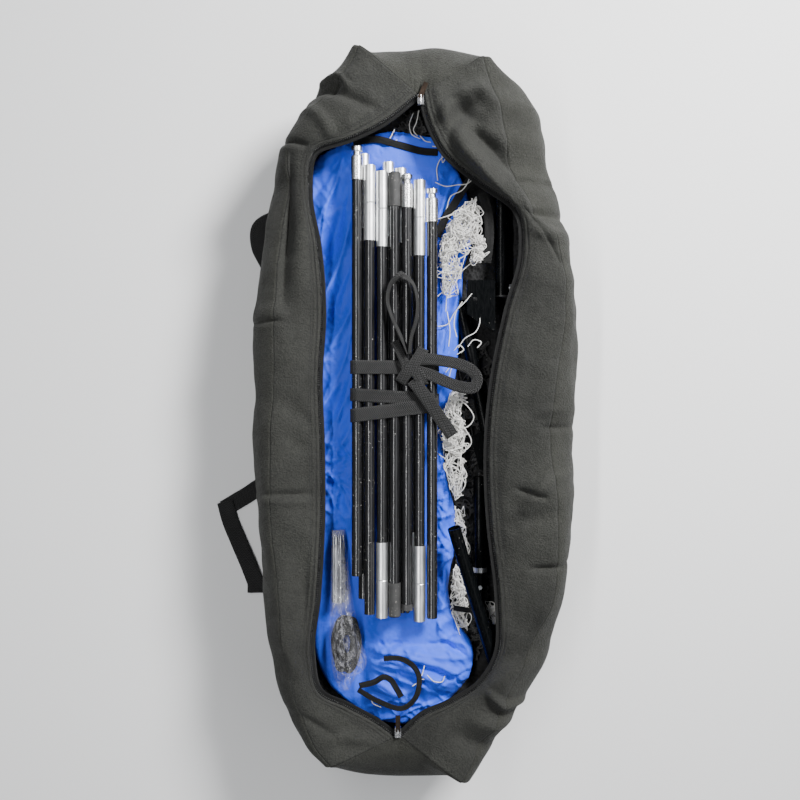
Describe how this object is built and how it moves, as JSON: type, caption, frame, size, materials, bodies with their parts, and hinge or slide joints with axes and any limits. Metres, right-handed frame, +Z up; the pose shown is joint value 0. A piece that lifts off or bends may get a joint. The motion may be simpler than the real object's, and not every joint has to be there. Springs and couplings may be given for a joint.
{
  "type": "portable goal net kit in its carry bag",
  "caption": "Portable field goal kit packed in an open zip-top holdall: strapped pole sections, steel base frame, folded net, target sheet, pegs and rope.",
  "frame": {"origin": "on the ground under the middle of the bag", "axes": "+Z up, +Y along the bag to its head end, +X towards the base frame's side"},
  "size_m": [0.5619, 1.0799, 0.1893],
  "materials": {
    "bag_cloth": "matt woven polyester",
    "zip_coil": "nylon coil",
    "zip_metal": "bright cast zinc",
    "pull_metal": "dark plated",
    "webbing": "ribbed polypropylene webbing",
    "net_cord": "knotted white cord",
    "blue_nylon": "crumpled nylon",
    "fibreglass": "glossy black",
    "zinc": "bright zinc plate",
    "rubber": "matt black",
    "black_steel": "satin black powder coat",
    "cap_plastic": "moulded",
    "film": "clear film",
    "peg_steel": "galvanised",
    "rope": "braided, black with white flecks"
  },
  "bodies": {
    "holdall": {"bag_floor": "bag_cloth", "bag_wall_left": "bag_cloth", "bag_wall_right": "bag_cloth", "bag_lid_left": "bag_cloth", "bag_lid_right": "bag_cloth", "bag_end_head": "bag_cloth", "bag_end_foot": "bag_cloth", "zip_tape_left": "zip_coil", "zip_tape_right": "zip_coil", "folded_net_core": "net_cord", "target_sheet": "blue_nylon", "sheet_binding": "webbing", "net_bunch_upper": "net_cord", "net_bunch_lower": "net_cord", "corner_loops": "webbing", "frame_upright": "black_steel", "frame_end_caps": "cap_plastic", "bracket_bolt": "zinc", "bracket_nut": "zinc", "frame_leg_middle": "black_steel", "frame_leg_lower": "black_steel", "leg_collar": "zinc"},
    "slider_head": {"zip_slider_head": "zip_metal"},
    "pull_head": {"zip_pull_head": "pull_metal"},
    "slider_foot": {"zip_slider_foot": "zip_metal"},
    "pull_foot": {"zip_pull_foot": "pull_metal"},
    "left_handle": {"handle_left": "webbing"},
    "right_handle": {"handle_right": "webbing"},
    "bundle": {"tie_bands": "webbing", "tie_bow": "webbing"},
    "bracket": {"foot_bracket": "black_steel"},
    "telescopic_leg": {"leg_inner_tube": "black_steel"},
    "button": {"snap_button": "zinc"},
    "spare_leg": {"spare_tube": "black_steel"},
    "accessories": {"poly_bag": "film", "ground_pegs": "peg_steel", "rope_hank": "rope"},
    "pole_01": {"pole_01_rod": "fibreglass", "pole_01_tip": "zinc"},
    "pole_02": {"pole_02_ferrule": "zinc", "pole_02_rod": "fibreglass"},
    "pole_03": {"pole_03_ferrules": "zinc", "pole_03_rod": "fibreglass"},
    "pole_04": {"pole_04_boots": "rubber", "pole_04_rod": "fibreglass"},
    "pole_05": {"pole_05_end_cap": "cap_plastic", "pole_05_rod": "fibreglass", "pole_05_tip": "zinc"},
    "pole_06": {"pole_06_ferrules": "zinc", "pole_06_rod": "fibreglass"},
    "pole_07": {"pole_07_rod": "fibreglass", "pole_07_tip": "zinc"},
    "pole_08": {"pole_08_ferrule": "zinc", "pole_08_rod": "fibreglass"},
    "pole_09": {"pole_09_ferrule": "zinc", "pole_09_rod": "fibreglass"},
    "pole_10": {"pole_10_ferrule": "zinc", "pole_10_rod": "fibreglass"},
    "pole_11": {"pole_11_ferrule": "zinc", "pole_11_rod": "fibreglass"}
  },
  "joints": [
    {"name": "head_slider_slide", "type": "slide", "parent": "holdall", "child": "slider_head", "axis": [0, 1, 0], "range_m": [-0.012, 0]},
    {"name": "head_pull_swing", "type": "hinge", "parent": "slider_head", "child": "pull_head", "pos_m": [0.008, 0.4585, 0.1811], "axis": [0, 0, 1], "range_deg": [-25, 60]},
    {"name": "foot_slider_slide", "type": "slide", "parent": "holdall", "child": "slider_foot", "axis": [0, 1, 0], "range_m": [0, 0.012]},
    {"name": "foot_pull_swing", "type": "hinge", "parent": "slider_foot", "child": "pull_foot", "pos_m": [-0.025, -0.4595, 0.1751], "axis": [0, 0, 1], "range_deg": [-60, 60]},
    {"name": "left_handle_lift", "type": "hinge", "parent": "holdall", "child": "left_handle", "pos_m": [-0.184, 0, 0.0025], "axis": [0, 1, 0], "range_deg": [0, 20]},
    {"name": "right_handle_lift", "type": "hinge", "parent": "holdall", "child": "right_handle", "pos_m": [0.188, 0, 0.0025], "axis": [0, -1, 0], "range_deg": [0, 20]},
    {"name": "bundle_lift", "type": "slide", "parent": "holdall", "child": "bundle", "axis": [0, 0, 1], "range_m": [0, 0.3]},
    {"name": "foot_bracket_fold", "type": "hinge", "parent": "holdall", "child": "bracket", "pos_m": [0.1173, 0.188, 0.122], "axis": [-1, 0, 0], "range_deg": [0, 90]},
    {"name": "leg_telescope", "type": "slide", "parent": "holdall", "child": "telescopic_leg", "axis": [0, 1, 0], "range_m": [-0.02, 0.008]},
    {"name": "button_press", "type": "slide", "parent": "telescopic_leg", "child": "button", "axis": [0, 0, -1], "range_m": [0, 0.003], "stiffness_N_per_m": 400, "springref_m": -0.001},
    {"name": "spare_tube_slide", "type": "slide", "parent": "holdall", "child": "spare_leg", "axis": [-0.284, 0.9382, 0.198], "range_m": [0, 0.12]},
    {"name": "accessory_bag_lift", "type": "slide", "parent": "holdall", "child": "accessories", "axis": [0, 0, 1], "range_m": [0, 0.3]},
    {"name": "pole_01_slide", "type": "slide", "parent": "bundle", "child": "pole_01", "axis": [0, 1, 0], "range_m": [-0.04, 0.008]},
    {"name": "pole_02_slide", "type": "slide", "parent": "bundle", "child": "pole_02", "axis": [0, 1, 0], "range_m": [-0.04, 0.03]},
    {"name": "pole_03_slide", "type": "slide", "parent": "bundle", "child": "pole_03", "axis": [0, 1, 0], "range_m": [-0.03, 0.03]},
    {"name": "pole_04_slide", "type": "slide", "parent": "bundle", "child": "pole_04", "axis": [0, 1, 0], "range_m": [-0.03, 0.02]},
    {"name": "pole_05_slide", "type": "slide", "parent": "bundle", "child": "pole_05", "axis": [0, 1, 0], "range_m": [-0.03, 0.02]},
    {"name": "pole_06_slide", "type": "slide", "parent": "bundle", "child": "pole_06", "axis": [0, 1, 0], "range_m": [-0.03, 0.03]},
    {"name": "pole_07_slide", "type": "slide", "parent": "bundle", "child": "pole_07", "axis": [0, 1, 0], "range_m": [-0.03, 0.03]},
    {"name": "pole_08_slide", "type": "slide", "parent": "bundle", "child": "pole_08", "axis": [0, 1, 0], "range_m": [-0.02, 0.015]},
    {"name": "pole_09_slide", "type": "slide", "parent": "bundle", "child": "pole_09", "axis": [0, 1, 0], "range_m": [-0.03, 0.02]},
    {"name": "pole_10_slide", "type": "slide", "parent": "bundle", "child": "pole_10", "axis": [0, 1, 0], "range_m": [-0.03, 0.02]},
    {"name": "pole_11_slide", "type": "slide", "parent": "bundle", "child": "pole_11", "axis": [0, 1, 0], "range_m": [-0.03, 0.02]}
  ]
}
